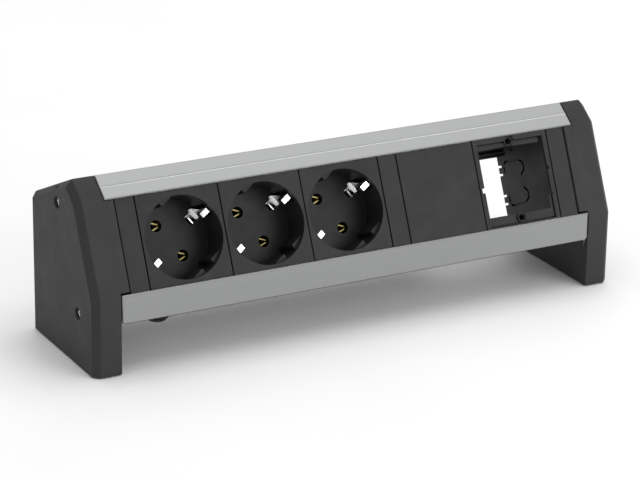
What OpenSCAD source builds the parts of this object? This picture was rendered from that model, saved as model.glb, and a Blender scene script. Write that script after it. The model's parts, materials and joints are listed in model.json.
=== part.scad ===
// Desk power strip: three earthed socket outlets, a blank cover and an open module bay, set in a
// sloping panel between two aluminium rails and two end caps that are also its feet.
// Millimetres. +X runs along the strip, +Y to the back, +Z up. The origin is on the desk, under the
// middle.
// A point of the cross-section is [y, z]. On the panel, v runs up the slope from the knee and w points
// out of the face, so a depth below the face is a negative w.

/* [Strip] */
// Width of one front module: a socket, the blank cover or the module frame
module_w = 42.5; // [42.2:0.1:44]
// Width of one spacer strip
spacer_w = 10.1; // [8:0.1:14]
// Depth of the strip from front to back
depth = 73; // [72:0.5:78]
// Thickness of an end cap where it stands as a foot
foot_w = 13.9; // [13:0.1:16]
// Width of the cap's cheek, which fills the panel beside the first spacer
cheek_w = 5.1; // [4:0.1:7]

/* [Cross-section] */
// Height of the knee, where the sloping panel meets the vertical front
knee_z = 37.6; // [36.5:0.1:40]
// Angle of the panel from the vertical
tilt = 24.3; // [23:0.1:25]
// Length of the panel up its slope
panel_len = 46.8; // [46.6:0.1:47.4]
// Height of the roof above the knee, measured up the slope
roof_v = 58.2; // [57.5:0.1:60]
// How far the front facet falls behind the panel's plane at the ridge
ridge_drop = 6.5; // [5.5:0.1:8]
// Height of the lower rail's underside
floor_z = 25.1; // [24.6:0.1:26]
// Height of the lower rail's top lip
band_z = 39.2; // [38.8:0.1:39.6]
// Height of the lower edge of the upper rail's back skirt
skirt_z = 47.7; // [46:0.1:49]
// Wall of the aluminium rails
rail_t = 1.9; // [1.8:0.1:2.1]
// Chamfer round the outside of an end cap
cap_chamfer = 3.1; // [1:0.1:3.5]

/* [Socket] */
// Diameter of the recess that the plug body enters
recess_d = 39.2; // [39:0.1:39.4]
// Depth of the recess below the cover's face
recess_depth = 17.5; // [17:0.1:18]
// Distance between the two pin holes
pin_pitch = 19; // [19:0.1:19.2]
// Diameter of a pin hole
pin_hole_d = 5.4; // [5.2:0.1:5.6]
// Angle of the row of pins from the length of the strip
pin_angle = 55; // [52:1:58]

/* [Fixings] */
// Diameter of the hole in the cable gland
gland_bore_d = 7; // [5:0.1:7]
// Distance between the two threaded inserts under a foot
insert_pitch = 40; // [36:1:44]

/* [Hidden] */
$fn = 64;

// Layout along X. Modules 0 to 2 are the sockets, 3 is the blank cover and 4 is the module frame.
panel_x = (5 * module_w + 3 * spacer_w) / 2;
cap_x0 = panel_x + cheek_w;
cap_x1 = cap_x0 + foot_w;
rail_x = cap_x0 - 0.3;
joint_gap = 0.55;
function module_x(i) = -panel_x + spacer_w + (i + 0.5) * module_w + (i > 2 ? spacer_w : 0);
spacer_xs = [
    -panel_x + spacer_w / 2, module_x(2) + (module_w + spacer_w) / 2, panel_x - spacer_w / 2
];

// Cross-section, as [y, z] points.
front_y = -depth / 2;
back_y = depth / 2;
pad_proud = 0.5;
function yz(v, w) = [front_y + v * sin(tilt) - w * cos(tilt), knee_z + v * cos(tilt) + w * sin(tilt)];
facet_edge = yz(panel_len, 0);
ridge = yz(roof_v, -ridge_drop);
eave = yz(roof_v, (roof_v * sin(tilt) - depth) / cos(tilt));
function side_profile(bottom_z) = [
    [front_y, bottom_z], [front_y, knee_z], facet_edge, ridge, eave, [back_y, bottom_z]
];

// Front modules: every plate slides in the grooves of the two rails.
plate_out = -0.7;
plate_t = 2.2;
plate_in = plate_out - plate_t;
plate_v0 = -0.1;
plate_v1 = panel_len + 0.1;
groove_play = 0.05;
groove_back = 1.7;
rib_back = plate_in - groove_play - groove_back;
lip_reach = 0.7;
lower_rib_v = 2;
upper_rib_v = panel_len - 0.7;

// Screw channels of the rails. The end screws run in them along X.
channel_v = 49.6;
channel_w = -22.4;
upper_channel = yz(channel_v, channel_w);
lower_channel = [front_y + 18.6, floor_z + 1.4];
channel_r = 3.4;
channel_bore_r = 1.5;
web_y = front_y + 27;
inside_y = back_y - rail_t;
skirt_rib = 0.9;
skirt_rib_z = [skirt_z + 2.4, skirt_z + 3.5];

// Sockets.
dish_v = 23.3;
dish_r = recess_d / 2;
dish_wall = 1;
dish_floor = plate_out - recess_depth;
floor_t = 2;
dish_back = dish_floor - floor_t;
clip_angle = 90 - pin_angle;
clip_r = 18.4;
bracket_w = 4.4;
strip_t = 0.6;
carrier_x = 19.2;
carrier_v = 16;
carrier_step_v = 13.2;
carrier_step_w = -31;
carrier_t = 1.8;
carrier_front = dish_back - 0.2;
carrier_back = carrier_front - 21.1;
post = [12.5, 11.9];
post_r = 2.1;
post_l = 8;
bar_t = 0.8;
bar_w = 5;
bar_top = carrier_back + 3.3;
bar_x0 = module_x(0) - carrier_x - 3.5;
bar_x1 = module_x(2) + 6;

// End caps.
cap_t = 2.6;
foot_x = (cap_x0 + cap_x1) / 2;
foot_web_z = 2.2;
inner_wall_z = floor_z + 3.4;
insert_r = 2.8;
insert_bore_r = 1.65;
insert_l = 8;
head_r = 2.7;
head_h = 2.5;
head_sunk = 1.2;
shank_r = 1.45;

// Module bay.
bay_wall_t = 1.5;
bay_groove_depth = 1;
bay_back_w = -48.5;
bay_x = [module_x(4) - module_w / 2 + 0.5, module_x(4) + module_w / 2 - 0.5 - bay_wall_t];
bay_hole_x = -0.7;
bay_hole_v = [5.2, 43];

// Wiring cover and gland.
cover_x0 = -rail_x + 0.1;
cover_x1 = bay_x[0] - 0.1;
cover_t = 1.9;
cover_screw_xs = [-110, -24, 56];
cover_screw_z = skirt_z + 3;
gland = [-92.8, front_y + 34.7];
gland_hex_d = 16;
gland_end_z = 9.5;

// Terminal block, between the first carrier and the back of the wiring cover.
terminal = [-98, 27, floor_z + cover_t];
pole_pitch = 8;
terminal_size = [26, 13, 11];
wire_r = 1.3;

cap_colour = "#47464a";
plate_colour = "#3d3e3f";
rail_colour = "#b4b7b8";
brass_colour = "#b8963c";
steel_colour = "#c9cbcd";

// Geometry helpers ---------------------------------------------------------------------------------

function unit(p) = p / norm(p);
function turned(p) = [-p.y, p.x];
// The corner at b of the path a-b-c, moved by t to the left of the path.
function mitre(a, b, c, t) =
    let (n1 = turned(unit(b - a)), n2 = turned(unit(c - b)), m = unit(n1 + n2)) b + m * t / (m * n1);
function beside(path, i, t) =
    let (last = len(path) - 1, a = path[max(i - 1, 0)], b = path[i], c = path[min(i + 1, last)])
    i == 0 ? b + turned(unit(c - b)) * t : i == last ? b + turned(unit(b - a)) * t : mitre(a, b, c, t);
function inset_loop(loop, t) =
    let (n = len(loop)) [for (i = [0:n - 1]) mitre(loop[(i + n - 1) % n], loop[i], loop[(i + 1) % n], -t)];

// A sheet of thickness t that follows a path, on the left of it.
module bent(path, t) {
    polygon(concat(path, [for (i = [len(path) - 1:-1:0]) beside(path, i, t)]));
}

// Extrudes a [y, z] outline from x0 to x1.
module along_x(x0, x1) {
    translate([x0, 0, 0])
        rotate([90, 0, 90])
            linear_extrude(x1 - x0)
                children();
}

// A rectangle of the cross-section, given in panel coordinates.
module panel_rect(v0, v1, w0, w1) {
    polygon([yz(v0, w0), yz(v1, w0), yz(v1, w1), yz(v0, w1)]);
}

// Puts children on the panel: their x stays X, their y runs up the slope and their z points out.
module on_panel(x = 0, v = 0) {
    translate([x, yz(v, 0).x, yz(v, 0).y])
        rotate([90 - tilt, 0, 0])
            children();
}

// A box by its two corners.
module block(low, high) {
    translate(low)
        cube(high - low);
}

// An eight-sided rod from a to b.
module rod(a, b, r) {
    d = b - a;
    translate(a)
        rotate([0, acos(d.z / norm(d)), atan2(d.y, d.x)])
            cylinder(r = r, h = norm(d), $fn = 8);
}

// A screw with its head's underside at z = 0, its shank down and a cross in its head.
module screw(r, l, head, height) {
    slot_w = head * 0.3;
    slot_l = head * 1.1;
    difference() {
        union() {
            translate([0, 0, -l])
                cylinder(r = r, h = l + 0.1);
            cylinder(r = head, h = height);
        }
        for (a = [0, 90])
            rotate([0, 0, a])
                translate([-slot_l / 2, -slot_w / 2, height * 0.5])
                    cube([slot_l, slot_w, height]);
    }
}

// Turns children so that their +z points along +X.
module facing_x() {
    rotate([0, 90, 0])
        children();
}

// Rails --------------------------------------------------------------------------------------------

module screw_channel(centre) {
    difference() {
        translate(centre)
            circle(channel_r);
        translate(centre)
            circle(channel_bore_r);
    }
}

// The web that carries the upper screw channel, in the rail and in the caps.
module channel_web() {
    panel_rect(channel_v + 2.8, roof_v - 1, channel_w - 0.9, channel_w + 0.9);
}

module upper_rail() {
    lip = facet_edge + unit(facet_edge - ridge) * lip_reach;
    slit_w = 0.6;
    color(rail_colour)
        difference() {
            union() {
                along_x(-rail_x, rail_x)
                    bent([[back_y, skirt_z], eave, ridge, lip], rail_t);
                along_x(-rail_x, rail_x)
                    panel_rect(upper_rib_v, panel_len + 5.5, rib_back, plate_in - 0.1);
                along_x(-rail_x, rail_x)
                    channel_web();
                along_x(-rail_x, rail_x)
                    screw_channel(upper_channel);
                block([-rail_x, inside_y - skirt_rib, skirt_rib_z[0]],
                      [rail_x, inside_y + 0.1, skirt_rib_z[1]]);
            }
            along_x(-rail_x - 1, rail_x + 1)
                panel_rect(panel_len - 4, plate_v1 + 0.1, plate_in - 0.1, plate_out + groove_play);
            along_x(-rail_x - 1, rail_x + 1)
                panel_rect(channel_v - 5, channel_v - 1, channel_w - slit_w, channel_w + slit_w);
            for (x = cover_screw_xs)
                translate([x, inside_y, cover_screw_z])
                    rotate([-90, 0, 0]) {
                        translate([0, 0, -1])
                            cylinder(r = 1.7, h = 3);
                        translate([0, 0, rail_t - 1.5])
                            cylinder(r1 = 1.4, r2 = 2.95, h = 1.55);
                    }
        }
}

// The band's lower corners are rounded at its ends.
module band_corner_cut() {
    r = 2;
    difference() {
        block([rail_x - r, front_y - 1, floor_z - 1], [rail_x + 1, front_y + rail_t - 0.05, floor_z + r]);
        translate([rail_x - r, front_y - 2, floor_z + r])
            rotate([-90, 0, 0])
                cylinder(r = r, h = 5);
    }
}

module lower_rail() {
    color(rail_colour)
        difference() {
            union() {
                along_x(-rail_x, rail_x)
                    bent([[front_y, band_z], [front_y, floor_z], [web_y, floor_z]], rail_t);
                along_x(-rail_x, rail_x)
                    panel_rect(-6.3, lower_rib_v, rib_back, plate_in - 0.1);
                along_x(-rail_x, rail_x)
                    screw_channel(lower_channel);
            }
            along_x(-rail_x - 1, rail_x + 1)
                panel_rect(plate_v0 - 0.1, 6, plate_in - 0.1, plate_out + groove_play);
            along_x(-rail_x - 1, rail_x + 1)
                translate(lower_channel)
                    circle(channel_bore_r);
            for (side = [0, 1])
                mirror([side, 0, 0])
                    band_corner_cut();
        }
}

// End caps -----------------------------------------------------------------------------------------

// Removes the outer corner along every edge of the cap's outline but the bottom one.
module cap_chamfers() {
    outline = side_profile(pad_proud);
    for (i = [0:len(outline) - 2]) {
        edge = outline[i + 1] - outline[i];
        translate([cap_x1 - cap_chamfer, outline[i].x, outline[i].y])
            rotate([atan2(edge.y, edge.x), 0, 0])
                rotate([0, 45, 0])
                    translate([-20, -60, 0])
                        cube([40, 180, 20]);
    }
}

// The rubber pad's outline: a bar with round ends.
module pad_outline(r, length) {
    square([2 * r, length - 2 * r], center = true);
    for (end = [-1, 1])
        translate([0, end * (length / 2 - r)])
            circle(r);
}

module cap_shell() {
    difference() {
        along_x(cap_x0, cap_x1)
            polygon(side_profile(pad_proud));
        cap_chamfers();
        along_x(cap_x0 - 1, cap_x1 - cap_t)
            polygon(inset_loop(side_profile(inner_wall_z - cap_t), cap_t));
        along_x(cap_x0 + 2.2, cap_x1 - cap_t)
            polygon(inset_loop(side_profile(foot_web_z + 2 - cap_t), cap_t));
    }
}

module end_cap() {
    head_seat_x = cap_x1 - head_sunk - head_h;
    color(cap_colour)
        difference() {
            union() {
                cap_shell();
                along_x(panel_x + joint_gap / 2, cap_x0 + 1)
                    panel_rect(2.6, panel_len - 1.25, -cap_t, 0);
                for (c = [upper_channel, lower_channel])
                    translate([cap_x0, c.x, c.y])
                        facing_x()
                            cylinder(r = 4.2, h = foot_w - 1);
                along_x(cap_x0, cap_x1 - 1)
                    channel_web();
                for (y = [-0.5, 0.5] * insert_pitch)
                    translate([foot_x, y, foot_web_z])
                        cylinder(r = 4.9, h = insert_l + 3);
            }
            for (c = [upper_channel, lower_channel])
                translate([0, c.x, c.y])
                    facing_x() {
                        translate([0, 0, cap_x0 - 1])
                            cylinder(r = 1.7, h = foot_w + 2);
                        translate([0, 0, head_seat_x])
                            cylinder(r = head_r + 0.15, h = foot_w);
                    }
            translate([foot_x, 0, -1])
                linear_extrude(foot_web_z + 1)
                    pad_outline(5.1, depth - 10.8);
            for (y = [-0.5, 0.5] * insert_pitch)
                translate([foot_x, y, 0])
                    cylinder(r = insert_r + 0.02, h = foot_web_z + insert_l);
        }
}

module end_cap_left() {
    mirror([1, 0, 0])
        end_cap();
}

module end_cap_right() {
    end_cap();
}

module end_screws() {
    color(steel_colour)
        for (side = [0, 1], c = [upper_channel, lower_channel])
            mirror([side, 0, 0])
                translate([cap_x1 - head_sunk - head_h, c.x, c.y])
                    facing_x()
                        screw(shank_r, 22, head_r, head_h);
}

module foot_pads() {
    color("#262626")
        for (x = [-foot_x, foot_x])
            translate([x, 0, 0])
                linear_extrude(foot_web_z)
                    difference() {
                        pad_outline(5, depth - 11);
                        for (y = [-0.5, 0.5] * insert_pitch)
                            translate([0, y])
                                circle(3.2);
                    }
}

module foot_inserts() {
    color(brass_colour)
        for (x = [-foot_x, foot_x], y = [-0.5, 0.5] * insert_pitch)
            translate([x, y, foot_web_z])
                difference() {
                    cylinder(r = insert_r, h = insert_l - 0.1);
                    translate([0, 0, -1])
                        cylinder(r = insert_bore_r, h = insert_l + 2);
                }
}

// Front modules ------------------------------------------------------------------------------------

// A panel plate of a module or spacer, centred on its own x.
module plate(width) {
    half = (width - joint_gap) / 2;
    block([-half, plate_v0, plate_in], [half, plate_v1, plate_out]);
}

module spacer(x) {
    color(plate_colour)
        on_panel(x) {
            plate(spacer_w);
            for (side = [-1, 1])
                translate([side * (spacer_w / 2 - 2), 0, 0])
                    block([-0.7, 5, plate_in - 4], [0.7, panel_len - 5, plate_in + 0.1]);
        }
}

module blank_cover() {
    leg_x = module_w / 2 - 2;
    color(plate_colour)
        on_panel(module_x(3)) {
            plate(module_w);
            for (x = [-leg_x, leg_x])
                block([x - 0.8, 5, plate_in - 9], [x + 0.8, panel_len - 5, plate_in + 0.1]);
            for (v = [14, 32])
                block([-leg_x, v - 0.7, plate_in - 3], [leg_x, v + 0.7, plate_in + 0.1]);
        }
}

// Half of a ring-shaped groove round a screw boss, on the side that an angle points to.
module boss_groove(r, bottom_w, angle) {
    intersection() {
        difference() {
            translate([0, 0, bottom_w])
                cylinder(r = r + 0.6, h = 3);
            translate([0, 0, bottom_w - 1])
                cylinder(r = r, h = 5);
        }
        rotate([0, 0, angle])
            block([0, -r - 1, bottom_w - 1], [r + 1, r + 1, bottom_w + 4]);
    }
}

// The frame of the bay: a raised rim, a lower seat with a groove along its long sides, two screw bosses,
// and a window with notches for the catches of a module.
module module_frame() {
    rim = 2.7;
    seat_v = [2.4, panel_len - 3.5];
    seat_w = plate_out - 1;
    seat_x = module_w / 2 - rim;
    groove_w = 0.6;
    groove_depth = 0.9;
    side_x = 18.3;
    low_v = 7.3;
    high_v = 40.4;
    window = [
        [-side_x, low_v], [16.9, low_v], [16.9, 13.8], [19.3, 13.8], [19.3, 14.9], [side_x, 14.9],
        [side_x, 26.2], [19.4, 26.2], [19.4, 28.2], [side_x, 28.2], [side_x, seat_v[1]], [16.7, seat_v[1]],
        [16.7, high_v], [-side_x, high_v], [-side_x, 22.2], [-19.9, 22.2], [-19.9, 19.8], [-side_x, 19.8]
    ];
    boss_r = 2.4;
    boss_foot = plate_in - 6;
    color(plate_colour)
        on_panel(module_x(4))
            difference() {
                union() {
                    difference() {
                        plate(module_w);
                        block([-seat_x, seat_v[0], seat_w], [seat_x, seat_v[1], 1]);
                        for (v = [seat_v[0], seat_v[1] - groove_w])
                            block([-seat_x, v, seat_w - groove_depth], [seat_x, v + groove_w, 1]);
                        translate([0, 0, -9])
                            linear_extrude(10)
                                polygon(window);
                    }
                    for (v = bay_hole_v)
                        translate([bay_hole_x, v, boss_foot])
                            cylinder(r = boss_r, h = plate_out - boss_foot);
                    block([18.8, 26.1, plate_in], [19.5, 27.4, seat_w]);
                }
                for (v = bay_hole_v)
                    translate([bay_hole_x, v, 0]) {
                        translate([0, 0, plate_in - 4.5])
                            cylinder(r = 1.25, h = 10);
                        translate([0, 0, plate_out - 1.3])
                            cylinder(r = 1.75, h = 3);
                    }
                translate([bay_hole_x, bay_hole_v[0], 0])
                    boss_groove(boss_r, seat_w - groove_depth - 0.1, 0);
                translate([bay_hole_x, bay_hole_v[1], 0])
                    boss_groove(boss_r, seat_w - groove_depth - 0.1, 30);
            }
}

// Sockets: everything below is placed from the middle of the dish, on its axis ----------------------

module at_socket(i) {
    on_panel(module_x(i), dish_v)
        children();
}

// Turns children from the u axis, which points away from the middle, to an angle on the dish.
module toward(angle) {
    rotate([0, 0, angle])
        children();
}

function pin_at(side) = pin_pitch / 2 * side * [cos(pin_angle), -sin(pin_angle)];

module socket_cover(i) {
    // Pocket in the wall of the dish behind an earth clip, and its housing
    pocket_r = 21.3;
    pocket_half = 3.4;
    pocket_floor = dish_floor - 0.5;
    pocket_top = -3.6;
    housing_r = 22.3;
    housing_half = 4.2;
    // Slot in the floor for the clip's foot and, narrower, for the lip of the earth bracket
    slot_r = [12.9, 17, 19.6];
    slot_half = 2.3;
    // Ledges that guide the plug's flat sides, each in two halves with a gap between them
    ledge_r = 16.85;
    ledge_gap_half = 3;
    ledge_top = plate_out - 2.5;
    color(plate_colour)
        at_socket(i)
            difference() {
                union() {
                    difference() {
                        union() {
                            translate([0, -dish_v, 0])
                                plate(module_w);
                            translate([0, 0, dish_back])
                                cylinder(r = dish_r + dish_wall, h = plate_in - dish_back + 0.1);
                            for (a = [clip_angle, clip_angle + 180])
                                toward(a)
                                    block([18, -housing_half, dish_back],
                                          [housing_r, housing_half, plate_in + 0.1]);
                        }
                        translate([0, 0, dish_floor])
                            cylinder(r = dish_r, h = 30, $fn = 96);
                    }
                    intersection() {
                        for (a = [-pin_angle, 180 - pin_angle], half = [0, 1])
                            toward(a)
                                mirror([0, half, 0])
                                    block([ledge_r, ledge_gap_half, dish_back],
                                          [dish_r + 2, dish_r, ledge_top]);
                        translate([0, 0, dish_back])
                            cylinder(r = dish_r + 0.5, h = 30);
                    }
                    for (side = [-1, 1])
                        translate([-side * post.x, side * post.y, dish_back - post_l])
                            cylinder(r = post_r, h = post_l + 0.1);
                }
                for (a = [clip_angle, clip_angle + 180])
                    toward(a) {
                        block([18, -pocket_half, pocket_floor], [pocket_r, pocket_half, pocket_top]);
                        block([slot_r[0], -slot_half, dish_back - 1],
                              [slot_r[1] + 1, slot_half, dish_floor + 1]);
                        block([slot_r[1], -pocket_half, dish_back - 1],
                              [slot_r[2], pocket_half, dish_floor + 1]);
                    }
                for (side = [-1, 1]) {
                    translate([pin_at(side).x, pin_at(side).y, dish_back - 1])
                        cylinder(d = pin_hole_d, h = 5);
                    translate([-side * post.x, side * post.y, dish_back - post_l - 1])
                        cylinder(r = 1.15, h = post_l);
                }
            }
}

// The carrier's block, drawn in by a wall t and a back. Its lower half is shallower, to clear the gland.
module carrier_outline(t, back) {
    along_carrier(t)
        polygon([
            [carrier_v - t, carrier_back + back], [carrier_v - t, carrier_front + t],
            [t - carrier_v, carrier_front + t], [t - carrier_v, carrier_step_w + t],
            [t - carrier_step_v, carrier_step_w + t], [t - carrier_step_v, carrier_back + back]
        ]);
}

// Extrudes a [v, w] outline over the carrier's width less a wall t at each end.
module along_carrier(t) {
    along_x(t - carrier_x, carrier_x - t)
        children();
}

module contact_carrier(i) {
    rib_v = 3;
    rib_t = 1.2;
    color("#2c2d2f")
        at_socket(i)
            difference() {
                union() {
                    difference() {
                        carrier_outline(0, 0);
                        carrier_outline(carrier_t, 2);
                    }
                    for (side = [-1, 1]) {
                        block([-carrier_x + 1, side * rib_v - rib_t / 2, carrier_back + 1],
                              [carrier_x - 1, side * rib_v + rib_t / 2, carrier_front - 3.4]);
                        translate([-side * post.x, side * post.y, carrier_back])
                            cylinder(r = post_r + 0.6, h = carrier_front - carrier_back - post_l - 0.1);
                    }
                }
                for (side = [-1, 1])
                    translate([-side * post.x, side * post.y, carrier_back - 1])
                        cylinder(r = 1.4, h = 30);
                for (v = [pin_at(-1).y, 0, pin_at(1).y])
                    block([-carrier_x - 1, v - bar_w / 2 - 0.2, bar_top - bar_t - 0.2],
                          [carrier_x + 1, v + bar_w / 2 + 0.2, bar_top + 0.2]);
            }
}

// A spring contact: a base that lies on a bus bar, and two leaves that stand in a V and spread for the pin.
module pin_contact(i, side) {
    leaf = [[2.4, 0.35], [1.6, 0.35], [-2.5, 1.9]];
    foot = bar_top + strip_t - 0.1;
    color(brass_colour)
        at_socket(i)
            translate([pin_at(side).x, pin_at(side).y, 0]) {
                block([-bar_w / 2, -bar_w / 2, bar_top], [bar_w / 2, bar_w / 2, bar_top + strip_t]);
                for (m = [0, 1])
                    mirror([0, m, 0])
                        translate([0, 0, foot])
                            linear_extrude(dish_back - 0.4 - foot)
                                bent(leaf, -strip_t);
            }
}

// The earth strip behind the floor of the dish. Each end has a lip that shows in the slot and an upstand
// under the foot of a clip, and a tongue stands on the earth bar.
module earth_bracket(i) {
    strip_top = dish_back - 2.6;
    lip_r = [13.3, 14.7];
    lip_half = 1.95;
    color(steel_colour)
        at_socket(i)
            toward(clip_angle) {
                block([-clip_r - strip_t, -bracket_w / 2, strip_top - strip_t],
                      [clip_r + strip_t, bracket_w / 2, strip_top]);
                for (end = [0, 1])
                    mirror([end, 0, 0]) {
                        block([lip_r[end], -lip_half, strip_top - 0.1],
                              [lip_r[end] + strip_t, lip_half, dish_floor + 2.4]);
                        block([clip_r, -bracket_w / 2, strip_top - 0.1],
                              [clip_r + strip_t, bracket_w / 2, dish_back - 0.4]);
                    }
                toward(-clip_angle)
                    block([-2, -0.4, bar_top], [2, 0.4, strip_top - 0.1]);
            }
}

// An earth clip: a foot in the slot of the floor, a strip that narrows as it rises along the wall of the
// dish, and a tab folded in over the flat side of the plug.
module earth_clip(i, angle) {
    foot = dish_back - 0.1;
    foot_half = 3.1;
    tab_half = 1.35;
    tab_w = -4.5;
    taper_w = [dish_floor + 0.6, -9];
    tab = [
        [clip_r, tab_w - 1.5], [clip_r, tab_w], [clip_r - 3.1, tab_w - 0.5], [clip_r - 3.5, tab_w - 1.3]
    ];
    color(steel_colour)
        at_socket(i)
            toward(angle) {
                block([clip_r - 1.1, -foot_half, foot], [clip_r + strip_t, foot_half, foot + strip_t]);
                translate([clip_r, 0, 0])
                    rotate([90, 0, 90])
                        linear_extrude(strip_t)
                            polygon([
                                [-foot_half, foot + 0.1], [foot_half, foot + 0.1], [foot_half, taper_w[0]],
                                [tab_half, taper_w[1]], [tab_half, tab_w - 1], [-tab_half, tab_w - 1],
                                [-tab_half, taper_w[1]], [-foot_half, taper_w[0]]
                            ]);
                rotate([90, 0, 0])
                    linear_extrude(2 * tab_half, center = true)
                        bent(tab, -strip_t);
            }
}

module bus_bar(v) {
    color(brass_colour)
        on_panel(0, dish_v)
            block([bar_x0, v - bar_w / 2, bar_top - bar_t], [bar_x1, v + bar_w / 2, bar_top]);
}

module carrier_screws() {
    color(steel_colour)
        for (i = [0:2], side = [-1, 1])
            at_socket(i)
                translate([-side * post.x, side * post.y, carrier_back])
                    rotate([180, 0, 0])
                        screw(1.1, carrier_front - carrier_back - 3, 2.3, 1.6);
}

// Module bay ---------------------------------------------------------------------------------------

// A knock-out of a partition: a groove with eight sides, all but the one on the solid side cut. Before it
// is placed, its x runs into the bay and its y up the slope.
module knock_out(v, w, solid_side) {
    half = [9.95, 4.6];
    front_cut = [4.1, 2.6];
    back_cut = 2;
    groove_w = 1.1;
    ring = [
        [half.x - back_cut, half.y], [front_cut.x - half.x, half.y], [-half.x, half.y - front_cut.y],
        [-half.x, front_cut.y - half.y], [front_cut.x - half.x, -half.y], [half.x - back_cut, -half.y],
        [half.x, back_cut - half.y], [half.x, half.y - back_cut]
    ];
    translate([0, yz(v, w).x, yz(v, w).y])
        rotate([90, 0, 90])
            rotate(-tilt)
                difference() {
                    linear_extrude(2 * bay_groove_depth, center = true)
                        difference() {
                            polygon(ring);
                            polygon(inset_loop(ring, -groove_w));
                        }
                    mirror([0, solid_side < 0 ? 1 : 0, 0])
                        block([front_cut.x - half.x, 1, -2], [half.x + 1, half.y + 1, 2]);
                }
}

// A partition of the bay. Its face with the knock-outs is on the side that faces the bay. Four grooves run
// from notches in its back edge to the knock-outs.
module bay_wall(x, bay_side) {
    face_x = bay_side > 0 ? x + bay_wall_t : x;
    low_z = floor_z + 0.2;
    back_v = (low_z - knee_z - bay_back_w * sin(tilt)) / cos(tilt);
    top_v = roof_v - rail_t - 0.3;
    channel_clear_w = channel_w - 4.6;
    corner = [38.3, -40];
    tie_notch = [1.3, 0.55];
    tie_vs = [13.8, 18, 28.8, 33];
    tie_end_w = -43;
    small_hole = yz(40.3, -33.5);
    color("#37383a")
        difference() {
            along_x(x, x + bay_wall_t)
                polygon([
                    yz(2.6, plate_in - 0.1), yz(panel_len - 1.2, plate_in - 0.1),
                    yz(panel_len - 1.2, channel_clear_w), yz(top_v, channel_clear_w),
                    yz(top_v, corner.y), yz(corner.x, corner.y), yz(corner.x, bay_back_w),
                    yz(back_v, bay_back_w), [web_y + 0.3, low_z], [web_y + 0.3, lower_channel.y + 3.8],
                    yz(2.6, -23.8)
                ]);
            translate([face_x, 0, 0])
                knock_out(30.7, -33.6, -1);
            translate([face_x, 0, 0])
                knock_out(16.6, -33.6, 1);
            for (v = tie_vs) {
                along_x(x - 1, x + bay_wall_t + 1)
                    panel_rect(v - tie_notch.y, v + tie_notch.y, bay_back_w - 1, bay_back_w + tie_notch.x);
                along_x(face_x - bay_groove_depth, face_x + bay_groove_depth)
                    panel_rect(v - tie_notch.y, v + tie_notch.y, bay_back_w, tie_end_w);
            }
            translate([x - 1, small_hole.x, small_hole.y])
                facing_x()
                    cylinder(r = 0.8, h = bay_wall_t + 2);
        }
}

// Wiring cover and gland ---------------------------------------------------------------------------

module wiring_cover() {
    tab_x = 8;
    tab_xs = [-112, -64, -16, 40];
    color("#37383a")
        difference() {
            union() {
                along_x(cover_x0, cover_x1)
                    bent([[back_y, skirt_z - 0.2], [back_y, floor_z], [web_y + 0.2, floor_z]], -cover_t);
                block([cover_x0, inside_y - 2, skirt_z - 6], [cover_x1, inside_y - 0.1, skirt_z + 6]);
                block([cover_x0, inside_y - 1, skirt_z - 6], [cover_x1, inside_y + 0.5, skirt_z - 0.2]);
                for (x = tab_xs)
                    block([x - tab_x, web_y - 3.6, floor_z + cover_t + 0.1],
                          [x + tab_x, web_y + 4, floor_z + cover_t + 1.7]);
                for (x = tab_xs)
                    block([x - tab_x, web_y + 1, floor_z + 1],
                          [x + tab_x, web_y + 4, floor_z + cover_t + 1.7]);
                for (x = cover_screw_xs)
                    translate([x, inside_y - 7, cover_screw_z])
                        rotate([-90, 0, 0])
                            cylinder(r = 3, h = 6);
                along_x(cover_x1 - 1.6, cover_x1)
                    polygon([
                        [web_y + 4, floor_z + 0.5], [back_y - 0.5, floor_z + 0.5],
                        [back_y - 0.5, skirt_z - 0.5], [inside_y - 0.1, skirt_z - 0.5],
                        [inside_y - 0.1, skirt_z + 6], yz(roof_v - rail_t - 0.4, -48),
                        yz(roof_v - rail_t - 0.4, -27), yz(panel_len - 1.2, -27), yz(2.6, -27)
                    ]);
            }
            block([cover_x0 - 1, inside_y - skirt_rib - 0.2, skirt_rib_z[0] - 0.2],
                  [cover_x1 + 1, inside_y + 1, skirt_rib_z[1] + 0.2]);
            for (x = cover_screw_xs)
                translate([x, inside_y - 6, cover_screw_z])
                    rotate([-90, 0, 0])
                        cylinder(r = 1.5, h = 10);
            translate([gland.x, gland.y, floor_z - 1])
                cylinder(r = 6.05, h = 10);
        }
}

// Countersunk screws through the skirt of the upper rail into the cover's bosses.
module cover_screws() {
    color(steel_colour)
        for (x = cover_screw_xs)
            translate([x, back_y, cover_screw_z])
                rotate([-90, 0, 0])
                    difference() {
                        union() {
                            translate([0, 0, -7.4])
                                cylinder(r = 1.4, h = 7);
                            translate([0, 0, -1.5])
                                cylinder(r1 = 1.35, r2 = 2.8, h = 1.45);
                        }
                        for (a = [0, 90])
                            rotate([0, 0, a])
                                translate([-1.6, -0.4, -0.9])
                                    cube([3.2, 0.8, 2]);
                    }
}

module gland_body() {
    color("#2a2b2c")
        translate([gland.x, gland.y, 0])
            difference() {
                union() {
                    translate([0, 0, floor_z - 4.5])
                        cylinder(d = gland_hex_d, h = 4.5, $fn = 6);
                    translate([0, 0, floor_z - 8])
                        cylinder(r = 5.2, h = 8);
                    translate([0, 0, floor_z - 1])
                        cylinder(r = 6, h = 6.1);
                }
                cylinder(r = 4, h = 60);
            }
}

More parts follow.
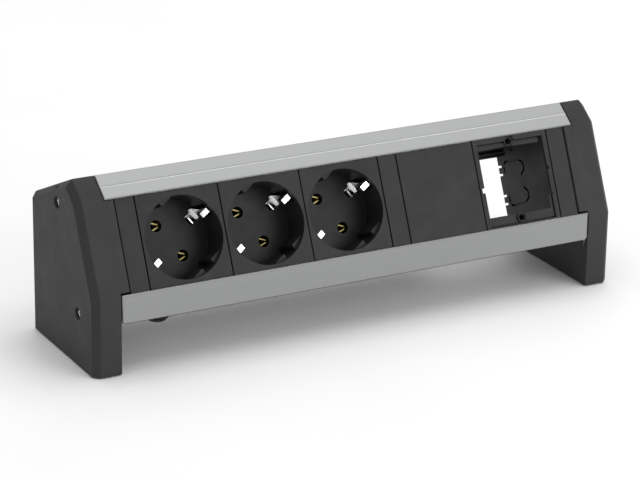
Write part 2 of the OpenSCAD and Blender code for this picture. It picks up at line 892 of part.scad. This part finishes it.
// The dome nut, which closes on the lead.
module gland_nut() {
    hex_z = gland_end_z + 5;
    color("#2a2b2c")
        translate([gland.x, gland.y, 0])
            difference() {
                union() {
                    translate([0, 0, hex_z])
                        cylinder(d = gland_hex_d - 0.6, h = floor_z - 4.7 - hex_z, $fn = 6);
                    translate([0, 0, gland_end_z + 2])
                        cylinder(r1 = 6.1, r2 = 6.6, h = hex_z - gland_end_z - 1.9);
                    translate([0, 0, gland_end_z])
                        cylinder(r1 = 4.3, r2 = 6.1, h = 2);
                }
                cylinder(d = gland_bore_d, h = 60);
                translate([0, 0, floor_z - 8.2])
                    cylinder(r = 5.35, h = 9);
            }
}

module gland_locknut() {
    color("#2a2b2c")
        translate([gland.x, gland.y, floor_z + cover_t])
            difference() {
                cylinder(d = 17, h = 2.6, $fn = 6);
                translate([0, 0, -1])
                    cylinder(r = 6.05, h = 6);
            }
}

// Terminal block and wires ---------------------------------------------------------------------------

function pole_x(n) = terminal.x + (n - 1) * pole_pitch;
clamp_z = terminal.z + 6;

module terminal_block() {
    size = terminal_size;
    color("#d8d5cc")
        difference() {
            block([terminal.x - size.x / 2, terminal.y - size.y / 2, terminal.z],
                  [terminal.x + size.x / 2, terminal.y + size.y / 2, terminal.z + size.z]);
            for (n = [0:2]) {
                translate([pole_x(n), terminal.y - size.y, clamp_z])
                    rotate([-90, 0, 0])
                        cylinder(r = 2.7, h = 2 * size.y);
                for (y = [-3.2, 3.2])
                    translate([pole_x(n), terminal.y + y, clamp_z])
                        cylinder(r = 1.8, h = 20);
            }
        }
}

module terminal_clamps() {
    color(brass_colour)
        for (n = [0:2])
            translate([pole_x(n), terminal.y - 5.5, clamp_z])
                difference() {
                    rotate([-90, 0, 0])
                        cylinder(r = 2.6, h = 11);
                    translate([0, -1, 0])
                        rotate([-90, 0, 0])
                            cylinder(r = 1.5, h = 14);
                    for (y = [2.3, 8.7])
                        translate([0, y, 0])
                            cylinder(r = 1.35, h = 5);
                }
}

module terminal_screws() {
    color(steel_colour)
        for (n = [0:2], y = [-3.2, 3.2])
            translate([pole_x(n), terminal.y + y, clamp_z + 1.5])
                difference() {
                    cylinder(r = 1.25, h = 4);
                    translate([-2, -0.3, 3.2])
                        cube([4, 0.6, 2]);
                }
}

// A wire through a list of points. Its straight runs overlap a little at each bend.
module wire(points, colour) {
    last = len(points) - 2;
    none = [0, 0, 0];
    color(colour)
        for (i = [0:last]) {
            overlap = unit(points[i + 1] - points[i]) * wire_r * 0.6;
            rod(points[i] - (i > 0 ? overlap : none), points[i + 1] + (i < last ? overlap : none), wire_r);
        }
}

turn_y0 = terminal.y - terminal_size.y / 2 - 2;

// From pole n of the terminal block, round the end of the first carrier, to the end of a bus bar.
function wire_points(n, v, side_x) =
    let (bar_end = yz(dish_v + v, bar_top - bar_t / 2), turn_y = turn_y0 - 3 * n)
    [
        [pole_x(n), terminal.y - 5.5, clamp_z], [pole_x(n), turn_y, clamp_z],
        [side_x, turn_y, clamp_z + 2.5 - 1.5 * n], [side_x, bar_end.x, bar_end.y],
        [bar_x0, bar_end.x, bar_end.y]
    ];

module live_wire() {
    wire(wire_points(0, pin_at(-1).y, bar_x0 - 2), "#6b3f22");
}

module earth_wire() {
    wire(wire_points(1, 0, bar_x0 - 3), "#4f8a2f");
}

module neutral_wire() {
    wire(wire_points(2, pin_at(1).y, bar_x0 - 4), "#2f5fa8");
}

end_cap_left();
end_cap_right();
upper_rail();
lower_rail();
end_screws();
foot_pads();
foot_inserts();
spacer(spacer_xs[0]);  // spacer_left
spacer(spacer_xs[1]);  // spacer_middle
spacer(spacer_xs[2]);  // spacer_right
blank_cover();
module_frame();
socket_cover(0);  // socket_cover_1
socket_cover(1);  // socket_cover_2
socket_cover(2);  // socket_cover_3
contact_carrier(0);  // contact_carrier_1
contact_carrier(1);  // contact_carrier_2
contact_carrier(2);  // contact_carrier_3
pin_contact(0, -1);  // live_contact_1
pin_contact(1, -1);  // live_contact_2
pin_contact(2, -1);  // live_contact_3
pin_contact(0, 1);  // neutral_contact_1
pin_contact(1, 1);  // neutral_contact_2
pin_contact(2, 1);  // neutral_contact_3
earth_bracket(0);  // earth_bracket_1
earth_bracket(1);  // earth_bracket_2
earth_bracket(2);  // earth_bracket_3
earth_clip(0, clip_angle);  // earth_clip_1_upper
earth_clip(1, clip_angle);  // earth_clip_2_upper
earth_clip(2, clip_angle);  // earth_clip_3_upper
earth_clip(0, clip_angle + 180);  // earth_clip_1_lower
earth_clip(1, clip_angle + 180);  // earth_clip_2_lower
earth_clip(2, clip_angle + 180);  // earth_clip_3_lower
bus_bar(pin_at(-1).y);  // live_bar
bus_bar(pin_at(1).y);  // neutral_bar
bus_bar(0);  // earth_bar
carrier_screws();
bay_wall(bay_x[0], 1);  // bay_wall_left
bay_wall(bay_x[1], -1);  // bay_wall_right
wiring_cover();
cover_screws();
gland_body();
gland_nut();
gland_locknut();
terminal_block();
terminal_clamps();
terminal_screws();
live_wire();
neutral_wire();
earth_wire();
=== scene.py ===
"""Looks of the desk power strip: softened pieces, materials, a floor, lights and a camera."""

import json
import math

import bmesh
import bpy
from mathutils import Matrix, Quaternion, Vector


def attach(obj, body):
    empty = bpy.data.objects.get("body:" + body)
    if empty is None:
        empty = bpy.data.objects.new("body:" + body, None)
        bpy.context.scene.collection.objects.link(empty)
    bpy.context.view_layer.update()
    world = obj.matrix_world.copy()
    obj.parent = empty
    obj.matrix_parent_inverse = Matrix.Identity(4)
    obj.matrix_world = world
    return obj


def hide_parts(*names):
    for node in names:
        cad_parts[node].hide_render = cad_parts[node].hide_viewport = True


MM = 0.001

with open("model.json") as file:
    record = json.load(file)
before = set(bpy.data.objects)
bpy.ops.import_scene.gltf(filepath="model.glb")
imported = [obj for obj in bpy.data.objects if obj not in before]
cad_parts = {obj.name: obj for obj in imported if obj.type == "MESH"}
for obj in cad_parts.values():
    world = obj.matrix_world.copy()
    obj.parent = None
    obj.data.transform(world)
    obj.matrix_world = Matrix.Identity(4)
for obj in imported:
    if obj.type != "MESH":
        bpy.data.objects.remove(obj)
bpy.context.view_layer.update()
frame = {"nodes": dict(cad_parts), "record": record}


# Materials ------------------------------------------------------------------------------------------


class Nodes:
    """A new material's node tree, with short ways to add and link nodes."""

    def __init__(self, name):
        self.material = bpy.data.materials.new(name)
        self.material.use_nodes = True
        self.tree = self.material.node_tree
        self.tree.nodes.clear()
        self.shader = self.add("ShaderNodeBsdfPrincipled")
        output = self.add("ShaderNodeOutputMaterial")
        self.link(self.shader.outputs["BSDF"], output.inputs["Surface"])
        self.place = self.add("ShaderNodeTexCoord").outputs["Object"]

    def add(self, kind, **settings):
        node = self.tree.nodes.new(kind)
        for name, value in settings.items():
            setattr(node, name, value)
        return node

    def link(self, a, b):
        self.tree.links.new(a, b)

    def set(self, **values):
        for name, value in values.items():
            self.shader.inputs[name.replace("_", " ")].default_value = value

    def stretched(self, scale):
        """The object's coordinates, stretched by three factors."""
        mapping = self.add("ShaderNodeMapping")
        mapping.inputs["Scale"].default_value = scale
        self.link(self.place, mapping.inputs["Vector"])
        return mapping.outputs["Vector"]

    def noise(self, scale, detail=3.0, roughness=0.5, place=None):
        node = self.add("ShaderNodeTexNoise")
        node.inputs["Scale"].default_value = scale
        node.inputs["Detail"].default_value = detail
        node.inputs["Roughness"].default_value = roughness
        self.link(place or self.place, node.inputs["Vector"])
        return node.outputs["Fac"]

    def grain(self, scale, place=None):
        node = self.add("ShaderNodeTexVoronoi", feature="SMOOTH_F1")
        node.inputs["Scale"].default_value = scale
        self.link(place or self.place, node.inputs["Vector"])
        return node.outputs["Distance"]

    def spread(self, value, low, high, start=0.3, end=0.7):
        """Maps a texture's value from start..end to low..high."""
        node = self.add("ShaderNodeMapRange")
        for name, number in (("From Min", start), ("From Max", end), ("To Min", low), ("To Max", high)):
            node.inputs[name].default_value = number
        self.link(value, node.inputs["Value"])
        return node.outputs["Result"]

    def combine(self, kind, a, b):
        node = self.add("ShaderNodeMath", operation=kind)
        for socket, value in zip(node.inputs, (a, b)):
            if isinstance(value, (int, float)):
                socket.default_value = value
            else:
                self.link(value, socket)
        return node.outputs["Value"]

    def colours(self, value, low, high):
        """Blends two colours by a texture's value."""
        ramp = self.add("ShaderNodeValToRGB")
        ramp.color_ramp.elements[0].position = 0.3
        ramp.color_ramp.elements[1].position = 0.7
        ramp.color_ramp.elements[0].color = (*low, 1)
        ramp.color_ramp.elements[1].color = (*high, 1)
        self.link(value, ramp.inputs["Fac"])
        self.link(ramp.outputs["Color"], self.shader.inputs["Base Color"])
        return ramp.outputs["Color"]

    def bump(self, height, strength, distance, under=None):
        node = self.add("ShaderNodeBump")
        node.inputs["Strength"].default_value = strength
        node.inputs["Distance"].default_value = distance
        self.link(height, node.inputs["Height"])
        if under:
            self.link(under, node.inputs["Normal"])
        self.link(node.outputs["Normal"], self.shader.inputs["Normal"])
        return node.outputs["Normal"]

    def painted_edge_highlight(self, colour, brighter, amount):
        """Painted highlight: lightens the colour a little where an edge stands out, as if the edge caught
        the light.
        """
        geometry = self.add("ShaderNodeNewGeometry")
        edge = self.spread(geometry.outputs["Pointiness"], 0.0, amount, 0.52, 0.6)
        mix = self.add("ShaderNodeMix", data_type="RGBA")
        self.link(edge, mix.inputs["Factor"])
        self.link(colour, mix.inputs[6])
        mix.inputs[7].default_value = (*brighter, 1)
        self.link(mix.outputs[2], self.shader.inputs["Base Color"])


def grey(value, tint=(1.0, 1.0, 1.0)):
    return tuple(value * t for t in tint)


def moulded_plastic(name, dark, light, rough, grain_mm, grain_depth, shine=0.34):
    """Moulded plastic: fine spark-eroded grain, slight cloudiness in colour and gloss, edges lightened as
    a painted highlight.
    """
    n = Nodes(name)
    cloud = n.noise(35, 4.0, 0.6)
    colour = n.colours(cloud, dark, light)
    # Painted highlight: edges are lighter, as if they caught the light.
    n.painted_edge_highlight(colour, tuple(min(1.0, c * 1.9) for c in light), 0.25)
    patches = n.noise(90, 5.0, 0.65)
    fine = n.noise(1 / (grain_mm * MM), 2.0, 0.5)
    n.link(n.combine("ADD", n.spread(patches, rough - 0.05, rough + 0.05), n.spread(fine, -0.04, 0.04)),
           n.shader.inputs["Roughness"])
    pits = n.bump(n.grain(1 / (grain_mm * MM)), 0.55, grain_depth * MM)
    n.bump(n.noise(1 / (grain_mm * 4 * MM), 3.0), 0.25, grain_depth * 2 * MM, pits)
    n.set(Specular_IOR_Level=shine)
    return n.material


def anodised(name, dark, light, rough):
    """Satin anodised aluminium with drawing lines along X."""
    n = Nodes(name)
    lines = n.noise(1.0, 6.0, 0.7, n.stretched((9.0, 2600.0, 2600.0)))
    broad = n.noise(1.0, 3.0, 0.5, n.stretched((3.0, 380.0, 380.0)))
    both = n.combine("ADD", n.combine("MULTIPLY", lines, 0.65), n.combine("MULTIPLY", broad, 0.35))
    n.colours(both, dark, light)
    n.link(n.spread(both, rough - 0.05, rough + 0.06), n.shader.inputs["Roughness"])
    matt = n.bump(n.noise(5200, 2.0), 0.25, 0.004 * MM)
    n.bump(lines, 0.2, 0.004 * MM, matt)
    n.set(Metallic=1.0)
    return n.material


def bright_metal(name, dark, light, rough, scratches=0.3):
    """Plated or drawn metal with light scratches and uneven tarnish."""
    n = Nodes(name)
    cloud = n.noise(260, 4.0, 0.6)
    n.colours(cloud, dark, light)
    scratch = n.noise(1.0, 4.0, 0.6, n.stretched((300.0, 5200.0, 1400.0)))
    n.link(n.combine("ADD", n.spread(cloud, rough - 0.05, rough + 0.06), n.spread(scratch, -0.03, 0.05)),
           n.shader.inputs["Roughness"])
    n.bump(scratch, scratches, 0.01 * MM)
    n.set(Metallic=1.0)
    return n.material


def rubber(name, dark, light):
    n = Nodes(name)
    colour = n.colours(n.noise(120, 4.0), dark, light)
    # Painted highlight: edges are lighter, as if they caught the light.
    n.painted_edge_highlight(colour, grey(0.09), 0.4)
    n.link(n.spread(n.noise(400, 3.0), 0.78, 0.92), n.shader.inputs["Roughness"])
    n.bump(n.noise(2200, 3.0, 0.6), 0.6, 0.03 * MM)
    return n.material


def smooth_plastic(name, dark, light, rough):
    """Smooth plastic with faint flow marks, as on terminals and wire insulation."""
    n = Nodes(name)
    flow = n.noise(1.0, 4.0, 0.6, n.stretched((180.0, 180.0, 700.0)))
    n.colours(flow, dark, light)
    n.link(n.spread(flow, rough - 0.05, rough + 0.06), n.shader.inputs["Roughness"])
    n.bump(flow, 0.25, 0.02 * MM)
    n.set(IOR=1.48)
    return n.material


def pale_floor(name):
    n = Nodes(name)
    cloud = n.noise(6, 3.0)
    n.colours(cloud, grey(0.95), grey(0.975))
    n.link(n.spread(cloud, 0.5, 0.6), n.shader.inputs["Roughness"])
    n.bump(n.noise(900, 2.0), 0.1, 0.05 * MM)
    return n.material


WARM = (1.04, 1, 0.97)
COOL = (1, 1.01, 1.02)
MATERIALS = {
    "cap_plastic": moulded_plastic(
        "CapPlastic", grey(0.0205, WARM), grey(0.0245, WARM), rough=0.6, grain_mm=0.42, grain_depth=0.02
    ),
    "panel_plastic": moulded_plastic(
        "PanelPlastic", grey(0.0165), grey(0.0195), rough=0.44, grain_mm=0.34, grain_depth=0.014, shine=0.2
    ),
    "inner_plastic": moulded_plastic(
        "InnerPlastic", grey(0.008), grey(0.0105), rough=0.5, grain_mm=0.4, grain_depth=0.012
    ),
    "anodised_rail": anodised("AnodisedRail", grey(0.282, COOL), grey(0.305, COOL), rough=0.38),
    "rubber": rubber("Rubber", grey(0.012), grey(0.02)),
    "brass": bright_metal("Brass", (0.17, 0.14, 0.052), (0.23, 0.19, 0.075), rough=0.34),
    "steel": bright_metal("PlatedSteel", grey(0.9), grey(0.97), rough=0.16, scratches=0.2),
    "terminal_plastic": smooth_plastic("TerminalPlastic", (0.62, 0.58, 0.5), (0.7, 0.66, 0.58), rough=0.4),
    "wire_brown": smooth_plastic("WireBrown", (0.10, 0.035, 0.014), (0.13, 0.046, 0.018), rough=0.36),
    "wire_blue": smooth_plastic("WireBlue", (0.018, 0.07, 0.26), (0.026, 0.09, 0.32), rough=0.36),
    "wire_green_yellow": smooth_plastic("WireGreen", (0.06, 0.2, 0.02), (0.08, 0.26, 0.03), rough=0.36),
}
# Painted highlight: a much brighter aluminium for the rails' square edges, standing in for the light their
# bevels catch.
RAIL_EDGE_HIGHLIGHT = anodised("RailEdgeHighlight", grey(0.84, COOL), grey(0.92, COOL), rough=0.3)
SLOT_OF = {part["node"]: part["material_slot"] for part in frame["record"]["subparts"]}
BODY_OF = {node: body for body, nodes in frame["record"]["behaviour"]["bodies"].items() for node in nodes}


# Pieces ---------------------------------------------------------------------------------------------


# Corners nearer than this are one corner, faces that turn by fewer degrees are one, shorter edges go.
JOIN_MM = 0.002
FLAT_TURN = 0.6
SLIVER_MM = 0.03
# An edge that turns by more degrees is softened, and a rail's square one gets a brighter material of its
# own, a painted highlight.
EDGE_TURN = 32
SQUARE_TURN = 75
# Softening may change a piece's area by this share before it is tried again with a narrower edge.
AREA_CHANGE = 0.045
EDGE_SHARES = (1, 0.9, 0.8, 0.65, 0.5, 0.35, 0.2)


def clean_copy(node):
    """The node's mesh with its corners joined and its flat faces made whole."""
    bm = bmesh.new()
    bm.from_mesh(frame["nodes"][node].data)
    bmesh.ops.remove_doubles(bm, verts=bm.verts, dist=JOIN_MM * MM)
    bmesh.ops.dissolve_limit(bm, angle_limit=math.radians(FLAT_TURN), verts=bm.verts, edges=bm.edges)
    bmesh.ops.dissolve_degenerate(bm, dist=SLIVER_MM * MM, edges=bm.edges)
    mesh = bpy.data.meshes.new(node)
    bm.to_mesh(mesh)
    bm.free()
    return mesh


def area_of(mesh):
    """The mesh's surface in square metres."""
    mesh.calc_loop_triangles()
    return sum(triangle.area for triangle in mesh.loop_triangles)


def soften(piece, edge_mm, turn, finish=0):
    """Rounds the edges that turn by more than an angle, narrower where the full width folds faces over."""
    bevel = piece.modifiers.new("SoftEdges", "BEVEL")
    bevel.segments = 2
    bevel.limit_method = "ANGLE"
    bevel.angle_limit = math.radians(turn)
    bevel.use_clamp_overlap = False
    bevel.miter_outer = "MITER_ARC"
    bevel.material = finish
    plain_area = area_of(piece.data)
    for share in EDGE_SHARES:
        bevel.width = edge_mm * MM * share
        softened = piece.evaluated_get(bpy.context.evaluated_depsgraph_get())
        if abs(area_of(softened.to_mesh()) / plain_area - 1) < AREA_CHANGE:
            return


def dress(node, edge_mm, highlight_material=None):
    """Stands a copy with softened edges in for a CAD node, in the node's own finish.

    The square edges of a cut profile can get a brighter material of their own, a painted highlight.
    """
    piece = bpy.data.objects.new(node + "_shell", clean_copy(node))
    bpy.context.scene.collection.objects.link(piece)
    piece.data.shade_smooth()
    finish_piece(piece, SLOT_OF[node], BODY_OF[node])
    # The square edges get the brighter material, a painted highlight.
    if highlight_material:
        piece.data.materials.append(highlight_material)
        soften(piece, edge_mm, SQUARE_TURN, finish=1)
    soften(piece, edge_mm, EDGE_TURN)
    normals = piece.modifiers.new("Normals", "WEIGHTED_NORMAL")
    normals.keep_sharp = True
    normals.weight = 80
    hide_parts(node)


def finish_piece(piece, slot, body):
    """Gives the piece its slot's material and lets it move with a body."""
    piece.data.materials.clear()
    piece.data.materials.append(MATERIALS[slot])
    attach(piece, body)


EDGES_MM = {
    "end_cap_left": 0.45, "end_cap_right": 0.45,
    "spacer_left": 0.18, "spacer_middle": 0.18, "spacer_right": 0.18, "blank_cover": 0.18,
    "socket_cover_1": 0.2, "socket_cover_2": 0.2, "socket_cover_3": 0.2, "module_frame": 0.15,
    "bay_wall_left": 0.12, "bay_wall_right": 0.12, "wiring_cover": 0.2, "foot_pads": 0.3,
    "gland_body": 0.2, "gland_nut": 0.3, "end_screws": 0.12, "cover_screws": 0.1,
}
for clip in (1, 2, 3):
    for end in ("upper", "lower"):
        EDGES_MM[f"earth_clip_{clip}_{end}"] = 0.1
RAILS = ("upper_rail", "lower_rail")
RAIL_EDGE_MM = 0.32

for node, edge in EDGES_MM.items():
    dress(node, edge)

# The rails' square edges get the painted highlight.
for node in RAILS:
    dress(node, RAIL_EDGE_MM, RAIL_EDGE_HIGHLIGHT)

for node, thing in frame["nodes"].items():
    if node not in EDGES_MM and node not in RAILS:
        thing.data.materials.clear()
        thing.data.materials.append(MATERIALS[SLOT_OF[node]])


# Stage ----------------------------------------------------------------------------------------------


FLOOR_HALF = 4.0


def make_floor():
    bm = bmesh.new()
    bmesh.ops.create_grid(bm, x_segments=2, y_segments=2, size=FLOOR_HALF)
    mesh = bpy.data.meshes.new("floor")
    bm.to_mesh(mesh)
    bm.free()
    floor = bpy.data.objects.new("floor", mesh)
    floor.data.materials.append(pale_floor("PaleFloor"))
    bpy.context.scene.collection.objects.link(floor)


def look_at(place, aim):
    """The turn that points an object's -Z at the aim, with its Y upward."""
    return (Vector(aim) - Vector(place)).to_track_quat("-Z", "Y")


def area_light(name, place, aim, size, power):
    data = bpy.data.lights.new(name, "AREA")
    data.shape = "RECTANGLE"
    data.size, data.size_y = size
    data.energy = power
    light = bpy.data.objects.new(name, data)
    light.location = place
    light.rotation_mode = "QUATERNION"
    light.rotation_quaternion = look_at(place, aim)
    bpy.context.scene.collection.objects.link(light)


def make_lights():
    world = bpy.data.worlds.new("Studio")
    world.use_nodes = True
    background = world.node_tree.nodes["Background"]
    background.inputs["Color"].default_value = (1, 1, 1, 1)
    background.inputs["Strength"].default_value = 0.6
    bpy.context.scene.world = world
    area_light("Overhead", (0.55, 0.2, 2.2), (0.1, 0, 0), (3.2, 2.6), 33)
    area_light("Front", (1.1, -1.9, 0.85), (0, 0, 0.05), (1.5, 0.9), 16)


def make_camera():
    """The camera stands to the left in front, looks down on the strip and leans a little."""
    place = (-0.6165, -1.1239, 0.5132)
    aim = (0, 0.0085, 0.0306)
    lean = Quaternion((0, 0, 1), math.radians(0.892))
    data = bpy.data.cameras.new("Camera")
    data.sensor_width = 36
    data.lens = 158.6
    camera = bpy.data.objects.new("Camera", data)
    turn = look_at(place, aim) @ lean
    camera.matrix_world = Matrix.Translation(place) @ turn.to_matrix().to_4x4()
    bpy.context.scene.collection.objects.link(camera)
    bpy.context.scene.camera = camera


make_floor()
make_lights()
make_camera()
bpy.context.scene.view_settings.view_transform = "Standard"
